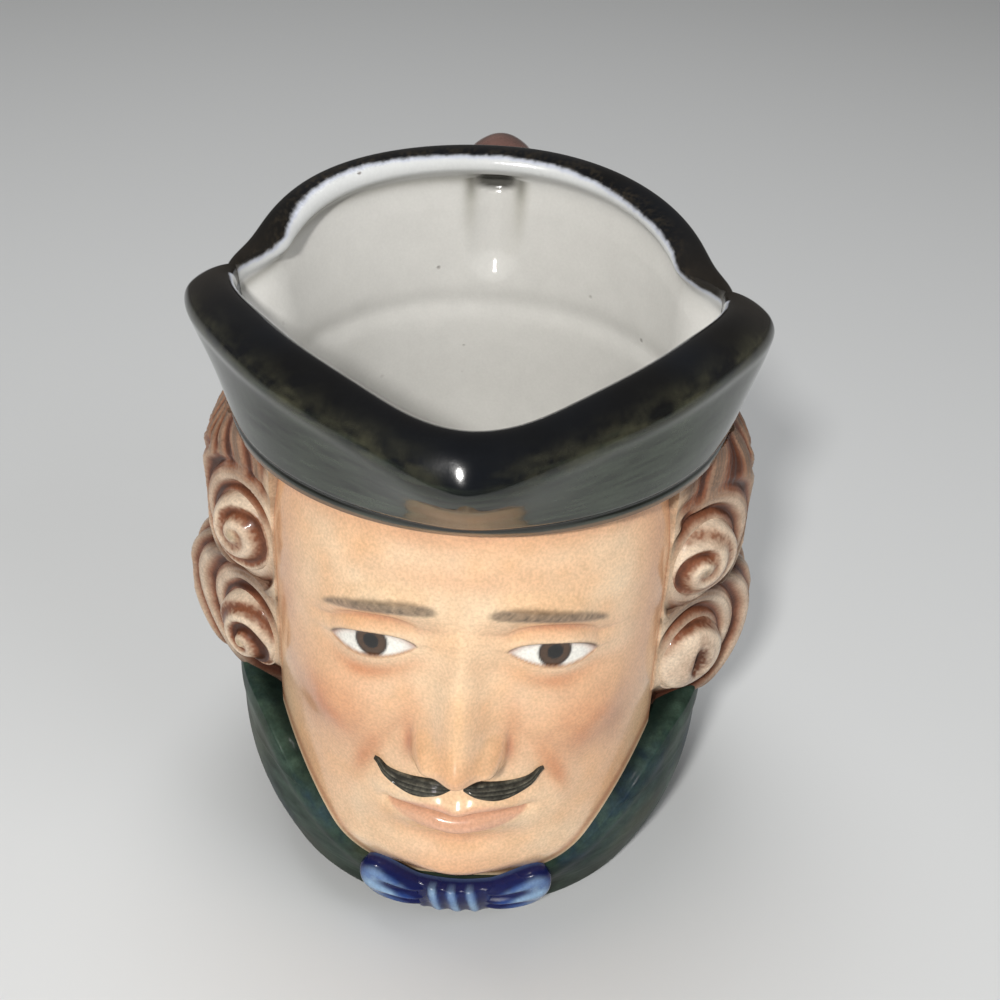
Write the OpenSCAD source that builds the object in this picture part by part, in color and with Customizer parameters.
// Character jug: a glazed earthenware pot dressed as a head in a cocked hat.
// The origin is the centre of the foot, +Z is up and the face looks along -Y.
// Angles run round the pot from the face, positive towards +X.

/* [Vessel] */
// Height of the pot wall, where the hat is seated
seam_z = 81; // [76:0.5:86]
// Radius of the foot
foot_r = 30.5; // [28:0.25:33]
// How far the pot wall swells beyond the foot
belly_swell = 4.1; // [3:0.1:5]
// Height of that swell
belly_z = 60; // [50:1:68]
// How far the pot wall draws in again under the hat
neck_draw = 1; // [0.5:0.1:1.5]
// Thickness of the pot wall
wall = 3.2; // [2.5:0.1:4.5]
// Height of the inside floor
floor_z = 6; // [4.5:0.25:9]
// Fillet between the floor and the wall
floor_fillet = 7; // [4:0.5:10]
// Width of the foot ring
foot_w = 4; // [3:0.25:6]
// Depth of the recess inside the foot ring
foot_recess = 1.6; // [1:0.1:2.5]

/* [Coat] */
// Height of the coat's hem
hem_z = 1.2; // [0.8:0.1:2]
// How far the coat stands out from the foot at its hem
hem_t = 2.9; // [2:0.1:4]
// How far the coat stands out from the pot's swell at the shoulders
shoulder_t = 5; // [4:0.1:6]
// How far the coat is drawn in at the front
coat_draw = 1.4; // [0.5:0.1:1.8]
// Height of the shoulders
shoulder_z = 24; // [20:0.5:28]
// Height of the collar's edge under the chin
collar_front_z = 9.5; // [8.5:0.25:10.5]
// Height of the collar's edge at the cheeks
collar_side_z = 33; // [30:0.5:36]
// Height of the collar's edge at the back
collar_back_z = 31; // [29:0.5:34]
// How far the collar's rolled edge stands out
collar_roll = 1.1; // [0.6:0.1:1.6]

/* [Bow] */
// How far the bow's middle lies below the collar's edge
bow_drop = 1.9; // [1:0.1:3]
// Height of the bow's loops
bow_h = 8.8; // [7:0.2:10]
// Length of one loop along the coat
loop_w = 9.4; // [8:0.2:12]
// Width of the knot
knot_w = 9; // [7:0.2:10]
// How far the bow stands out from the coat
bow_t = 3; // [2:0.1:4]

/* [Face] */
// Half of the angle that the face covers
face_half = 56; // [52:0.5:60]
// Thickness of the bare face over the pot's swell
face_t = 4.2; // [3.6:0.1:5]
// Height of the nose tip
nose_z = 43.5; // [42:0.25:46]
// Length of the nose, up to the height of the eyes
nose_l = 16; // [14:0.25:18]
// How far the nose tip stands out
nose_h = 8.6; // [6:0.2:10]
// Half width of the nose over its wings
nose_s = 6.2; // [5.5:0.1:7.5]
// Distance of each eye from the middle
eye_s = 13.6; // [12.5:0.1:15]
// Height of the eyebrows above the eyes
brow_rise = 7; // [6:0.25:8.5]
// Distance from the nose tip down to the line between the lips
lip_drop = 12.7; // [11.5:0.1:14]
// Half width of the mouth
mouth_s = 11; // [9:0.25:13]
// Distance from the line between the lips down to the chin
chin_drop = 12.8; // [11.5:0.1:14]
// How far the chin stands out
chin_h = 2.4; // [1:0.1:3.5]
// Length of one half of the moustache
moustache_l = 13; // [10:0.5:15]
// Height of the moustache above the line between the lips
moustache_rise = 5.4; // [4.8:0.1:6]
// How far the moustache stands out
moustache_t = 1.3; // [0.8:0.1:2]

/* [Hair] */
// Height where the upper and lower rolls of hair meet
tier_z = 54; // [51:0.5:57]
// Thickness of the hair over the pot's swell, under the hat
hair_top_t = 4.8; // [4:0.1:6]
// Thickness of the upper roll
upper_roll_t = 9; // [7.5:0.1:11]
// Thickness of the lower roll
lower_roll_t = 13.4; // [10:0.1:15]
// Thickness in the fold between the rolls and over the collar
hair_fold_t = 6.4; // [5.4:0.1:7.4]
// Width of one lock of hair
lock_pitch = 8; // [6:0.25:10]
// Depth of the grooves between the locks
groove = 1.5; // [0.6:0.1:2]
// How far the locks swing from side to side
wave = 2; // [0:0.1:3]
// Height of one such swing
wave_l = 22; // [16:0.5:30]

/* [Curls] */
// Direction that the curls at the temples face
curl_face = 45; // [40:1:50]
// Thickness of the temples that carry the curls, over the pot's swell
temple_t = 0.6; // [0.4:0.05:1.4]
// Gap between a curl and the face
curl_gap = 0.2; // [0:0.1:1.5]
// Distance of the upper curls below the hat
upper_curl_drop = 18; // [16:0.25:19]
// Distance of the lower curls below the fold between the rolls
lower_curl_drop = 10; // [9:0.25:11]
// Radius of a curl over its outer turn
curl_r = 7; // [5.5:0.1:7.5]
// Radius of the lock that is curled up
curl_tube = 2; // [1.4:0.05:2.1]
// Number of turns in a curl
curl_turns = 1.6; // [1:0.1:1.8]

/* [Hat] */
// How far the hat stands out from the pot's neck at the seam
hat_t = 4.7; // [4:0.1:5.5]
// Height of the brim's edge above the seam at the front corner
front_rise = 16.5; // [13:0.25:20]
// Height of the brim's edge above the seam at the side corners
ear_rise = 18.5; // [15:0.25:22]
// Height of the brim's edge above the seam at the back
back_rise = 27.5; // [23:0.25:31]
// How far the edge of a front flap leans in from the hat's foot
flap_lean = 4.3; // [3:0.1:6]
// How far the front corner reaches out from the hat's foot
corner_reach = 1.7; // [0:0.1:4]
// How far the side corners reach out from the hat's foot
ear_reach = 0.7; // [0:0.1:2]
// How far the edge of the back flap leans in from the hat's foot
back_lean = 4.3; // [3:0.1:6]
// Angle of the side corners, where the front and back flaps meet
ear_angle = 93; // [88:0.5:98]
// Width of the rolled edge on the front flaps
brim_t = 5.4; // [4.5:0.1:6.5]
// Width of the rolled edge on the back flap
back_roll_t = 1.8; // [1.2:0.1:2.6]
// Depth of the rolled edge
brim_roll = 6.4; // [5:0.1:8]
// Width of the inner lip on the front flaps
front_lip = 2.6; // [2:0.1:3.4]
// Width of the inner lip on the back flap
back_lip = 4.4; // [3.6:0.1:5.4]
// How far the inner lip of the back flap overhangs the wall below it
back_overhang = 1.6; // [0.5:0.1:2.2]
// Width of the hollow behind the handle's upper root
hollow_w = 8; // [6:0.25:9]
// Depth of that hollow
hollow_d = 2.2; // [1:0.1:2.6]

/* [Handle] */
// Clearance of the handle's upper root below the rolled brim
handle_clear = 0.3; // [0.2:0.1:3]
// Height of the handle's lower root
handle_low_z = 22; // [20:0.5:23]
// Clear reach of the handle behind the jug
handle_reach = 22; // [16:0.5:28]
// How far the handle rises behind its upper root
handle_rise = 3.8; // [1:0.2:5]
// How far the handle sweeps down to its lower root
handle_sweep = 12; // [8:0.5:16]
// Width of the handle
handle_w = 9.6; // [8:0.2:12]
// Thickness of the handle
handle_t = 7.4; // [6:0.2:9]
// Radius of the air hole from the hat into the handle
vent_r = 1.8; // [1.2:0.1:2.2]
// Depth of that hole in the handle
vent_l = 9; // [5:0.5:12]

/* [Hidden] */
$fn = 96;

// Gap of the luted seams between neighbouring pieces
seam = 0.12;
// How much wider the handle is at its roots
root_flare = 1.22;
// Least wall over the air hole in the handle
vent_wall = 0.8;
// Thickness at which a relief runs out
feather = 0.35;

// Places and radii that follow from the sizes above
belly_r = foot_r + belly_swell;
neck_r = belly_r - neck_draw;
hem_r = foot_r + hem_t;
shoulder_r = belly_r + shoulder_t;
bow_z = collar_front_z - bow_drop;
face_r0 = belly_r + face_t;
eye_z = nose_z + nose_l;
brow_z = eye_z + brow_rise;
mouth_z = nose_z - lip_drop;
chin_z = mouth_z - chin_drop;
hair_fold_r = belly_r + hair_fold_t;
hair_top_r = belly_r + hair_top_t;
upper_roll_r = belly_r + upper_roll_t;
lower_roll_r = belly_r + lower_roll_t;
curl_seat = belly_r + temple_t;
curl_s = curl_seat * tan(face_half - curl_face) + curl_gap + curl_r;
curl_a = curl_face + atan(curl_s / curl_seat);
upper_curl_z = seam_z - upper_curl_drop;
lower_curl_z = tier_z - lower_curl_drop;
hat_r = neck_r + hat_t;
front_z = seam_z + front_rise;
ear_z = seam_z + ear_rise;
back_z = seam_z + back_rise;
flap_r = hat_r - flap_lean;
corner_r = hat_r + corner_reach;
ear_r = hat_r + ear_reach;
back_r = hat_r - back_lean;
handle_top_z = back_z - brim_roll - handle_clear - handle_t / 2 * root_flare;

glaze_white = "#e9e6dd";
glaze_skin = "#e2ab7b";
glaze_hair = "#9a6a50";
glaze_black = "#1d211f";
glaze_green = "#2f4238";
glaze_blue = "#27358a";
glaze_moustache = "#2b2a22";
glaze_handle = "#8d5f55";

// Helpers

function bell(x, w) = exp(-(x / w) * (x / w));
function step_up(a, b, x) = let (t = max(0, min(1, (x - a) / (b - a)))) t * t * (3 - 2 * t);
function mix(a, b, t) = a + (b - a) * t;
function round_over(t) = sqrt(max(0, 1 - t * t));
function polar(a, r, z) = [r * sin(a), -r * cos(a), z];
// Angle from the face, the same on both sides
function off_front(a) = abs(a) > 180 ? 360 - abs(a) : abs(a);
function unit(v) = v / norm(v);
function bezier(p, t) = let (s = 1 - t)
    s * s * s * p[0] + 3 * s * s * t * p[1] + 3 * s * t * t * p[2] + t * t * t * p[3];

// Solid between an inner and an outer skin. at(u, v) gives [angle, height] for u and v from 0 to 1,
// inner(a, z) and outer(a, z, u, v) give radii. The outer skin has fine times as many steps as the inner.
module relief(cols, rows, fine, at, inner, outer) {
    n = cols * fine;
    m = rows * fine;
    skin_out = [for (j = [0:m]) for (i = [0:n])
        let (p = at(i / n, j / m)) polar(p[0], outer(p[0], p[1], i / n, j / m), p[1])];
    skin_in = [for (j = [0:rows]) for (i = [0:cols])
        let (p = at(i / cols, j / rows)) polar(p[0], inner(p[0], p[1]), p[1])];
    first_in = len(skin_out);
    function o(i, j) = j * (n + 1) + i;
    function q(i, j) = first_in + j * (cols + 1) + i;
    loop_out = concat([for (i = [0:n - 1]) o(i, 0)], [for (j = [0:m - 1]) o(n, j)],
        [for (i = [n:-1:1]) o(i, m)], [for (j = [m:-1:1]) o(0, j)]);
    loop_in = concat([for (i = [0:cols - 1]) q(i, 0)], [for (j = [0:rows - 1]) q(cols, j)],
        [for (i = [cols:-1:1]) q(i, rows)], [for (j = [rows:-1:1]) q(0, j)]);
    count_out = len(loop_out);
    count_in = len(loop_in);
    faces_out = [for (j = [0:m - 1]) for (i = [0:n - 1])
        for (f = [[o(i, j), o(i, j + 1), o(i + 1, j + 1)], [o(i, j), o(i + 1, j + 1), o(i + 1, j)]]) f];
    faces_in = [for (j = [0:rows - 1]) for (i = [0:cols - 1])
        for (f = [[q(i, j), q(i + 1, j), q(i + 1, j + 1)], [q(i, j), q(i + 1, j + 1), q(i, j + 1)]]) f];
    faces_edge = [for (e = [0:count_in - 1]) for (t = [0:fine])
        t < fine
            ? [loop_out[e * fine + t], loop_out[(e * fine + t + 1) % count_out], loop_in[e]]
            : [loop_in[e], loop_out[((e + 1) * fine) % count_out], loop_in[(e + 1) % count_in]]];
    polyhedron(concat(skin_out, skin_in), concat(faces_out, faces_in, faces_edge), convexity = 8);
}

// Solid through rings of points, each ring counter-clockwise to someone looking along the sweep
module loft(rings) {
    n = len(rings[0]);
    m = len(rings);
    points = [for (ring = rings) for (p = ring) p];
    function mean(ring) = [for (k = [0:2]) let (c = [for (p = ring) p[k]]) c * [for (x = c) 1] / n];
    function at(i, j) = i * n + j % n;
    sides = [for (i = [0:m - 2]) for (j = [0:n - 1])
        for (f = [[at(i, j), at(i, j + 1), at(i + 1, j + 1)], [at(i, j), at(i + 1, j + 1), at(i + 1, j)]]) f];
    caps = [for (j = [0:n - 1])
        for (f = [[n * m, at(0, j + 1), at(0, j)], [n * m + 1, at(m - 1, j), at(m - 1, j + 1)]]) f];
    polyhedron(concat(points, [mean(rings[0]), mean(rings[m - 1])]), concat(sides, caps), convexity = 8);
}

// Vessel

function vessel_r(z) = z < belly_z
    ? foot_r + (belly_r - foot_r) * (1 - pow(1 - z / belly_z, 2.4))
    : belly_r - (belly_r - neck_r) * step_up(belly_z, seam_z, z);
// Radius of a piece seated on the pot wall, clear of it along the flats between its columns
function seat_r(z, column_angle) = (vessel_r(z) + seam) / cos(column_angle / 2);

module vessel() {
    steps = 20;
    inner_low_z = floor_z + floor_fillet;
    color(glaze_white) rotate_extrude() polygon(concat(
        [[0, foot_recess], [foot_r - foot_w, foot_recess], [foot_r - foot_w, 0], [foot_r, 0]],
        [for (i = [1:steps]) let (z = seam_z * i / steps) [vessel_r(z), z]],
        [for (i = [0:steps]) let (z = mix(seam_z, inner_low_z, i / steps)) [vessel_r(z) - wall, z]],
        [for (i = [1:6]) let (a = 90 * i / 6)
            [vessel_r(inner_low_z) - wall - floor_fillet * (1 - cos(a)), inner_low_z - floor_fillet * sin(a)]],
        [[0, floor_z]]));
}

// Coat

function collar_z(a) = collar_front_z
    + (collar_side_z - collar_front_z) * step_up(12, 62, abs(a))
    - (collar_side_z - collar_back_z) * step_up(100, 170, abs(a));
function coat_r(a, z) = z < shoulder_z
    ? hem_r + (shoulder_r - hem_r) * (1 - pow(1 - max(0, z) / shoulder_z, 2))
        - coat_draw * bell(a, 34) * step_up(hem_z, hem_z + 6, z)
    : shoulder_r - (shoulder_r - vessel_r(z)) * pow((z - shoulder_z) / seam_z, 2);
function coat_skin(a, z) = coat_r(a, z)
    + collar_roll * bell(z - collar_z(a) + 2.4 * collar_roll, 2.2 * collar_roll);

module coat_half() {
    cols = 16;
    color(glaze_green) relief(cols, 2, 3,
        function(u, v) let (a = mix(-179.9, -0.1, u))
            [a, mix(hem_z, collar_z(a), v)],
        function(a, z) seat_r(z, 180 / cols),
        function(a, z, u, v) coat_skin(a, z) - 0.8 * bell(z - hem_z, 0.6));
}

// Bow

function bow_angle(s) = s / hem_r * 180 / PI;
function bow_seat(a, z) = max(coat_skin(a, z), z > collar_z(a) ? face_r(a, z) : 0) + seam;
// Height of the bow at a distance from its middle
function bow_height(s) = bow_h * mix(0.62, 1, step_up(0, loop_w + knot_w / 2, abs(s)));
// A pillowed piece of the bow between two distances along the coat
module bow_piece(from_s, to_s, folds) {
    color(glaze_blue) relief(4, 3, 3,
        function(u, v) let (s = mix(from_s, to_s, u))
            [bow_angle(s), bow_z + bow_height(s) * (v - 0.5)],
        function(a, z) bow_seat(a, z) / cos(bow_angle(loop_w) / 8),
        function(a, z, u, v) bow_seat(a, z) + feather
            + bow_t * sqrt(round_over(2 * u - 1) * round_over(2 * v - 1))
            * (1 - 0.16 * (1 + cos(folds * 360 * u)) * round_over(2 * v - 1)));
}
module bow_knot() { bow_piece(-knot_w / 2, knot_w / 2, 3); }
module bow_loop() { bow_piece(-knot_w / 2 - seam - loop_w, -knot_w / 2 - seam, 1); }

// Face

function face_s(a) = a * PI / 180 * face_r0;
function face_angle(s) = s / face_r0 * 180 / PI;
// Bare head: rounded under the hat, drawn in to the neck below the chin and to the temples
function head_r(a, z) = face_r0
    - (face_r0 - hat_r + 1.2) * step_up(seam_z - 14, seam_z, z)
    - (3.4 + coat_draw) * step_up(chin_z + 1, collar_front_z, z) * bell(a, 30)
    - 3 * pow(a / face_half, 2);
function nose_r(s, z) = let (
        bridge_z = eye_z + 2,
        along = max(0, min(1, (bridge_z - z) / (bridge_z - nose_z))),
        under = step_up(nose_z - 4.6, nose_z - 1, z),
        half = mix(2.6, 4.2, along))
    nose_h * mix(0.16, 1, pow(along, 1.35)) * bell(s, half) * under * step_up(bridge_z + 6, bridge_z - 2, z)
    + 0.46 * nose_h * bell(abs(s) - nose_s + 1.6, 2) * bell(z - nose_z + 1.4, 2.2);
function eye_r(s, z) = let (
        x = (abs(s) - eye_s) / 7.2,
        y = (z - eye_z) / 5,
        open = max(0, 1 - x * x),
        lid_top = eye_z + 3 * open,
        lid_low = eye_z - 2.6 * open)
    -2.6 * bell(abs(s) - eye_s + 1, 8) * bell(z - eye_z - 0.5, 5.4)
    + 2.6 * pow(bell(x, 1) * bell(y, 1), 1.2)
    + bell(x, 1) * (1.1 * bell(z - lid_top - 0.6, 1.1) + 0.7 * bell(z - lid_low + 0.5, 1));
function brow_r(s, z) =
    1.7 * bell(z - brow_z + 0.012 * pow(abs(s) - eye_s, 2), 2.4) * bell(abs(s) - eye_s, 9);
function mouth_r(s, z) = let (w = s / mouth_s, line = mouth_z + 0.5 * w * w)
    1.9 * bell(s, 13) * bell(z - mouth_z - 1, 8)
    + 1.5 * bell(w, 0.72) * bell(z - line - 2.1, 1.5)
    + 1.7 * bell(w, 0.62) * bell(z - line + 2.3, 1.7)
    - 1.2 * bell(w, 0.95) * bell(z - line, 0.8)
    - 0.6 * bell(s, 1.3) * bell(z - mouth_z - 6, 2.4);
function face_r(a, z) = let (s = face_s(a)) head_r(a, z)
    + nose_r(s, z) + eye_r(s, z) + brow_r(s, z) + mouth_r(s, z)
    + chin_h * bell(s, 8.5) * bell(z - chin_z, 5)
    + 1.7 * bell(abs(s) - 20, 8) * bell(z - 46, 8)
    - 0.7 * bell(s, 9) * bell(z - mouth_z + 6.4, 2);

module face() {
    cols = 12;
    // The steps gather in the middle and between the mouth and the eyes
    color(glaze_skin) relief(cols, 10, 4,
        function(u, v) let (w = 2 * u - 1, a = face_half * (0.7 * w + 0.3 * w * w * w))
            [a, mix(collar_z(a) + seam, seam_z, v + 0.06 * (sin(360 * (v - 0.12)) + sin(360 * 0.12)))],
        function(a, z) seat_r(z, 2 * face_half / cols * 1.6),
        function(a, z, u, v) face_r(a, z));
}

// One half of the moustache: a tapering lock that lies on the upper lip and turns up at its tip
module moustache_half() {
    function middle(t) = mouth_z + moustache_rise - 3 * t + 4.4 * pow(t, 3);
    function half_h(t) = 1.9 * sqrt(sin(180 * mix(0.16, 0.97, t)));
    color(glaze_moustache) relief(8, 2, 2,
        function(u, v) [-face_angle(mix(moustache_l, 1, u)), middle(1 - u) + half_h(1 - u) * (2 * v - 1)],
        function(a, z) face_r(a, z) + 2 * seam,
        function(a, z, u, v) face_r(a, z) + 2 * seam + feather + moustache_t * round_over(2 * v - 1));
}

// Hair

// Flat face at the temples that carries the curls
function temple_r(a) = curl_seat / max(0.2, cos(abs(a) - curl_face));
// Rounded roll of hair between two heights
function roll_r(z, low_z, high_z, low_r, high_r, crest_r) =
    let (t = (z - low_z) / (high_z - low_z), edge = mix(low_r, high_r, t))
    edge + (crest_r - edge) * round_over(2 * t - 1);
// Grooves between the locks, which wind round the curl at the temple
function lock_groove(a, z, curl_z) = let (
        y = z - curl_z,
        swing = wave * sin(360 * y / wave_l) * step_up(curl_a, curl_a + 30, abs(a)),
        x = (abs(a) - curl_a) * PI / 180 * hair_fold_r + swing,
        turns = norm([x, y]) / lock_pitch + atan2(y, x) / 360)
    groove * step_up(face_half, face_half + 14, abs(a)) * bell(sin(180 * turns), 0.4);

// A roll of hair on the left side, from the height base(a) up to high_z
module hair(base, high_z, high_r, crest_r, curl_z) {
    cols = 12;
    color(glaze_hair) relief(cols, 2, 4,
        function(u, v) let (a = mix(-179.9, -face_half - 0.3, u))
            [a, mix(base(a), high_z, v)],
        function(a, z) seat_r(z, (180 - face_half) / cols),
        function(a, z, u, v) let (roll = roll_r(z, base(a), high_z, hair_fold_r, high_r, crest_r))
            min(temple_r(a), roll) - lock_groove(a, z, curl_z));
}
module hair_upper() {
    hair(function(a) tier_z, seam_z, hair_top_r, upper_roll_r, upper_curl_z);
}
module hair_lower() {
    hair(function(a) collar_z(a) + seam, tier_z - seam, hair_fold_r, lower_roll_r, lower_curl_z);
}

// Curl: a tapering lock wound into a spiral on the flat face at a temple
module curl(z) {
    rings = 28;
    sides = 7;
    out = [-sin(curl_face), -cos(curl_face), 0];
    along = [-cos(curl_face), sin(curl_face), 0];
    function tube(t) = curl_tube * mix(1, 0.62, t);
    function spiral(t) = let (turn = 90 + 360 * curl_turns * t, r = mix(curl_r - curl_tube, 0.9, t))
        (curl_seat + seam + curl_tube) * out
        + (curl_s + r * cos(turn)) * along
        + [0, 0, z + r * sin(turn)]
        + (1.6 * t * t) * out;
    function ring(t) = let (
            forward = unit(spiral(t + 0.004) - spiral(t - 0.004)),
            right = unit(cross(forward, out)),
            up = cross(right, forward))
        [for (k = [0:sides - 1]) let (a = 360 * k / sides)
            spiral(t) + tube(t) * (cos(a) * right + sin(a) * up)];
    color(glaze_hair) loft([for (i = [0:rings]) ring(i / rings)]);
}

// Hat

function brim_z(a) = let (b = off_front(a)) b < ear_angle
    ? mix(front_z, ear_z, step_up(0, ear_angle, b)) + 1.2 * bell(b - ear_angle / 2, 26)
    : mix(ear_z, back_z, pow((b - ear_angle) / (180 - ear_angle), 0.55));
function edge_r(a) = let (b = off_front(a)) b < ear_angle
    ? flap_r + (corner_r - flap_r) * bell(b, 20) + (ear_r - flap_r) * bell(b - ear_angle, 20)
    : mix(back_r + 1.5, back_r, step_up(ear_angle + 20, 180, b))
        + (ear_r - back_r - 1.5) * bell(b - ear_angle, 14);
// Hollow in the inside wall behind the handle's upper root
function hollow_r(a, z) = let (s = (180 - off_front(a)) * PI / 180 * back_r)
    hollow_d * round_over(s / (hollow_w / 2))
        * step_up(seam_z + 1, seam_z + 9, z)
        * step_up(handle_top_z + 6, handle_top_z + 3, z);
// Fullness of the rolled brim: 1 along a flap, falling to 0 at the ends of the front flaps
function flap_full(a) = let (b = off_front(a))
    b < ear_angle ? round_over(0.94 * max(0, 1 - (ear_angle - b) / 7)) : 1;

// Outline of the hat's wall at one angle, from its outer seam over the rolled brim to its inner seam
function hat_section(a) = let (
        top = brim_z(a),
        edge = edge_r(a),
        front = off_front(a) < ear_angle,
        roll = (front ? brim_t : back_roll_t) * flap_full(a),
        low = top - brim_roll,
        inside = vessel_r(seam_z) - wall - 0.8,
        lip = edge - (front ? front_lip : back_lip),
        under = lip + (front ? 0.2 : back_overhang))
    [
        [hat_r, seam_z],
        [mix(hat_r, edge + roll, 0.3), mix(seam_z, low, 0.45)],
        [edge + roll - 0.19 * brim_roll, low],
        [edge + roll, low + 0.34 * brim_roll],
        [edge + 0.78 * roll, low + 0.66 * brim_roll],
        [edge + 0.2 * roll, top - 0.5],
        [edge - 0.6, top],
        [lip + 0.5, top - 0.7],
        [lip, top - 2.6],
        [under + hollow_r(a, top - 5), top - 5],
        each [for (t = [0.25, 0.5, 0.75]) let (z = mix(top - 5, seam_z, t))
            [mix(under, inside, t) + hollow_r(a, z), z]],
        [inside, seam_z]
    ];
module hat_wall(angles) {
    color(glaze_black) loft([for (a = angles) [for (p = hat_section(a)) polar(a, p[0], p[1])]]);
}
module hat_front_flap() {
    cols = 36;
    end = ear_angle - 0.1;
    hat_wall([for (i = [0:cols]) let (t = 2 * i / cols - 1) end * sin(90 * t) * 0.55 + end * t * 0.45]);
}
module hat_back_flap() {
    cols = 28;
    end = 180 - ear_angle - 0.1;
    difference() {
        hat_wall([for (i = [0:cols]) let (t = 2 * i / cols - 1) 180 + end * (0.4 * t + 0.6 * pow(t, 3))]);
        handle_vent();
    }
}

// Handle

function handle_root_y(x, z) = sqrt(pow(hat_back_r(z), 2) - x * x) + seam;
// Outer radius of the hat at the back, between its seam and its rolled brim
function hat_back_r(z) = let (outline = hat_section(180), i = z < outline[1][1] ? 0 : 1)
    mix(outline[i][0], outline[i + 1][0], (z - outline[i][1]) / (outline[i + 1][1] - outline[i][1]));
function coat_root_y(x, z) = sqrt(pow(coat_skin(180, z), 2) - x * x) + seam;

module handle_vent() {
    vent_y = handle_root_y(0, handle_top_z) + vent_l;
    vent_z = handle_top_z + handle_t / 2 * root_flare - vent_r - vent_wall;
    translate([0, vent_y, vent_z]) rotate([90, 0, 0]) cylinder(r = vent_r, h = vent_l + 8);
}
module handle() {
    rings = 20;
    sides = 12;
    top_y = handle_root_y(0, handle_top_z);
    low_y = coat_root_y(0, handle_low_z);
    bulge = (handle_reach + handle_t / 2) * 4 / 3;
    path = [[0, top_y, handle_top_z], [0, top_y + bulge, handle_top_z + 6.5 * handle_rise],
        [0, low_y + bulge, handle_low_z + handle_sweep], [0, low_y, handle_low_z]];
    function section(t, k) = let (a = 360 * k / sides, flare = mix(1, root_flare, pow(abs(2 * t - 1), 6)))
        [handle_w / 2 * flare * cos(a), handle_t / 2 * flare * sin(a)];
    function along(t) = t <= 0 ? [0, 1, 0] : t >= 1 ? [0, -1, 0]
        : unit(bezier(path, t + 0.01) - bezier(path, t - 0.01));
    function ring(t) = let (c = bezier(path, t), up = cross([1, 0, 0], along(t)))
        [for (k = [0:sides - 1]) let (p = section(t, k), q = c + p[0] * [1, 0, 0] + p[1] * up)
            t <= 0 ? [q[0], handle_root_y(q[0], q[2]), q[2]]
            : t >= 1 ? [q[0], coat_root_y(q[0], q[2]), q[2]] : q];
    color(glaze_handle) difference() {
        loft([for (i = [0:rings]) ring(i / rings)]);
        handle_vent();
    }
}

vessel();
coat_half();  // coat_left
mirror([1, 0, 0]) coat_half();  // coat_right
bow_knot();
bow_loop();  // bow_loop_left
mirror([1, 0, 0]) bow_loop();  // bow_loop_right
face();
moustache_half();  // moustache_left
mirror([1, 0, 0]) moustache_half();  // moustache_right
hair_upper();  // hair_upper_left
mirror([1, 0, 0]) hair_upper();  // hair_upper_right
hair_lower();  // hair_lower_left
mirror([1, 0, 0]) hair_lower();  // hair_lower_right
curl(upper_curl_z);  // curl_upper_left
mirror([1, 0, 0]) curl(upper_curl_z);  // curl_upper_right
curl(lower_curl_z);  // curl_lower_left
mirror([1, 0, 0]) curl(lower_curl_z);  // curl_lower_right
hat_front_flap();
hat_back_flap();
handle();
